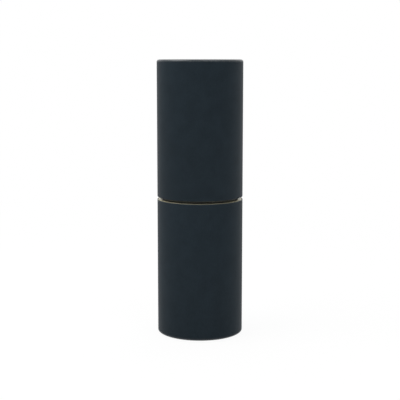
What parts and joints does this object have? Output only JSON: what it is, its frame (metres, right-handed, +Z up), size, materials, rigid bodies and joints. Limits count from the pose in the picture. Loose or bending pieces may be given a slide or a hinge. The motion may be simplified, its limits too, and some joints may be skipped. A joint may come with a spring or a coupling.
{
  "type": "paper lip balm tube",
  "caption": "Twist-up lip balm in a slim black paper tube: pull-off cap, board neck with a moulded lip, screw-driven cup and a domed stick of balm.",
  "frame": {"origin": "centre of the circle that the closed tube stands on", "axes": "+Z up the tube's axis towards the cap; +X through one of the cup's two lugs"},
  "size_m": [0.022, 0.022, 0.0704],
  "materials": {
    "printed_paper": "matte blue-black laminated paper",
    "cream_board": "uncoated cream wound board",
    "dark_board": "wound board dyed dark all through",
    "white_moulding": "satin natural white moulding",
    "balm_wax": "soft satin cream wax"
  },
  "bodies": {
    "base": {"base_wrap": "printed_paper", "base_tube": "cream_board", "base_facing": "printed_paper", "base_disc": "cream_board", "base_plug": "white_moulding", "drive_sleeve": "white_moulding"},
    "neck": {"lift_cam": "white_moulding", "neck_sleeve": "dark_board"},
    "carrier": {"balm_cup": "white_moulding", "lip_balm": "balm_wax"},
    "cap": {"cap_wrap": "printed_paper", "cap_tube": "cream_board", "cap_liner": "cream_board", "cap_disc": "cream_board", "cap_facing": "printed_paper"}
  },
  "joints": [
    {"name": "neck_twist", "type": "hinge", "parent": "base", "child": "neck", "pos_m": [0, 0, 0.0348], "axis": [0, 0, 1], "range_deg": [0, 495]},
    {"name": "carrier_lift", "type": "slide", "parent": "base", "child": "carrier", "axis": [0, 0, 1], "range_m": [0, 0.022]},
    {"name": "cap_lift", "type": "slide", "parent": "neck", "child": "cap", "axis": [0, 0, 1], "range_m": [0, 0.04]}
  ],
  "couplings": [
    {"joint": "carrier_lift", "follows": "neck_twist", "m_per_rad": 0.0025464}
  ]
}
